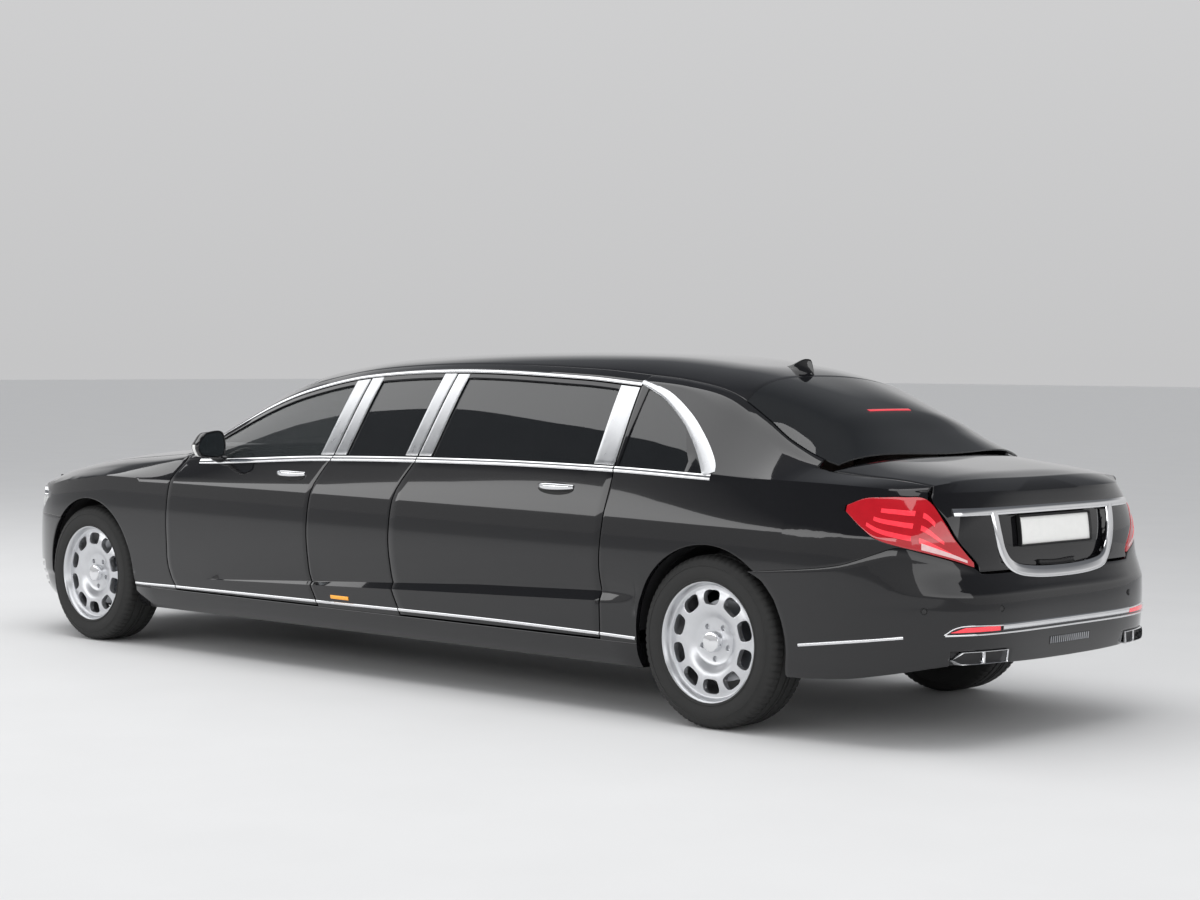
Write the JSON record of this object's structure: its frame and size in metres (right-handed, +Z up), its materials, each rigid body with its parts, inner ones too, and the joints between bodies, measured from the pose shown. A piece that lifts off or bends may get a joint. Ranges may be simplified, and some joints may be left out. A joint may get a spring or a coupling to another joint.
{
  "type": "stretch limousine",
  "caption": "Long four-door saloon limousine with a fixed panel let in between front and rear doors, opening doors, bonnet and boot lid, steering front wheels.",
  "frame": {"origin": "on the ground below the middle of the overall length and width", "axes": "+X forward along the car, +Y to its left, +Z up"},
  "size_m": [6.4998, 2.1354, 1.5767],
  "materials": {
    "paint": "gloss black",
    "trim": "matte",
    "chrome": "polished",
    "glass": "clear tinted",
    "dark_glass": "privacy tint",
    "red_lamp": "gloss",
    "clear_lamp": "clear",
    "alloy": "silver lacquer",
    "tyre": "matte",
    "steel": "satin",
    "iron": "rough",
    "leather": "satin"
  },
  "bodies": {
    "body": {"floor_pan": "trim", "sills": "paint", "front_wings": "paint", "quarter_panels": "paint", "mid_panels": "paint", "roof_rails": "paint", "roof": "paint", "windscreen": "glass", "rear_window": "dark_glass", "side_panes": "dark_glass", "front_bumper": "paint", "rear_bumper": "paint", "grille": "chrome", "head_lamps": "clear_lamp", "tail_lamps": "red_lamp", "exhausts": "steel", "engine": "iron", "dashboard": "trim", "steering_wheel": "trim", "front_seats": "leather", "rear_seats": "leather", "partition": "trim", "front_axle": "iron", "rear_axle": "iron", "wheel_liners": "trim", "door_hinges": "steel", "tow_socket": "steel"},
    "door_fl": {"door_fl": "paint", "pane_fl": "glass", "mirror_l": "paint"},
    "door_fr": {"door_fr": "paint", "pane_fr": "glass", "mirror_r": "paint"},
    "door_rl": {"door_rl": "paint", "pane_rl": "dark_glass"},
    "door_rr": {"door_rr": "paint", "pane_rr": "dark_glass"},
    "bonnet": {"bonnet": "paint"},
    "boot_lid": {"boot_lid": "paint"},
    "knuckle_left": {"knuckle_l": "iron"},
    "knuckle_right": {"knuckle_r": "iron"},
    "front_left_wheel": {"tyre_fl": "tyre", "wheel_fl": "alloy"},
    "front_right_wheel": {"tyre_fr": "tyre", "wheel_fr": "alloy"},
    "rear_left_wheel": {"tyre_rl": "tyre", "wheel_rl": "alloy"},
    "rear_right_wheel": {"tyre_rr": "tyre", "wheel_rr": "alloy"}
  },
  "joints": [
    {"name": "steer_left", "type": "hinge", "parent": "body", "child": "knuckle_left", "pos_m": [2.3325, 0.77, 0.35], "axis": [0, 0, 1], "range_deg": [-35, 35]},
    {"name": "steer_right", "type": "hinge", "parent": "body", "child": "knuckle_right", "pos_m": [2.3325, -0.77, 0.35], "axis": [0, 0, 1], "range_deg": [-35, 35]},
    {"name": "roll_front_left", "type": "hinge", "parent": "knuckle_left", "child": "front_left_wheel", "pos_m": [2.3325, 0.812, 0.364], "axis": [0, 1, 0], "continuous": true},
    {"name": "roll_front_right", "type": "hinge", "parent": "knuckle_right", "child": "front_right_wheel", "pos_m": [2.3325, -0.812, 0.364], "axis": [0, 1, 0], "continuous": true},
    {"name": "roll_rear_left", "type": "hinge", "parent": "body", "child": "rear_left_wheel", "pos_m": [-2.0855, 0.8185, 0.364], "axis": [0, 1, 0], "continuous": true},
    {"name": "roll_rear_right", "type": "hinge", "parent": "body", "child": "rear_right_wheel", "pos_m": [-2.0855, -0.8185, 0.364], "axis": [0, 1, 0], "continuous": true},
    {"name": "swing_door_fl", "type": "hinge", "parent": "body", "child": "door_fl", "pos_m": [1.5285, 0.9315, 0.72], "axis": [0, 0, -1], "range_deg": [0, 65]},
    {"name": "swing_door_fr", "type": "hinge", "parent": "body", "child": "door_fr", "pos_m": [1.5285, -0.9315, 0.72], "axis": [0, 0, 1], "range_deg": [0, 65]},
    {"name": "swing_door_rl", "type": "hinge", "parent": "body", "child": "door_rl", "pos_m": [-0.2045, 0.9315, 0.72], "axis": [0, 0, -1], "range_deg": [0, 65]},
    {"name": "swing_door_rr", "type": "hinge", "parent": "body", "child": "door_rr", "pos_m": [-0.2045, -0.9315, 0.72], "axis": [0, 0, 1], "range_deg": [0, 65]},
    {"name": "lift_bonnet", "type": "hinge", "parent": "body", "child": "bonnet", "pos_m": [1.6425, 0.5995, 1.004], "axis": [0, -1, 0], "range_deg": [0, 50]},
    {"name": "lift_boot_lid", "type": "hinge", "parent": "body", "child": "boot_lid", "pos_m": [-2.4005, 0.5995, 1.07], "axis": [0, 1, 0], "range_deg": [0, 70]}
  ],
  "couplings": [
    {"joint": "steer_right", "follows": "steer_left", "ratio": 1}
  ]
}
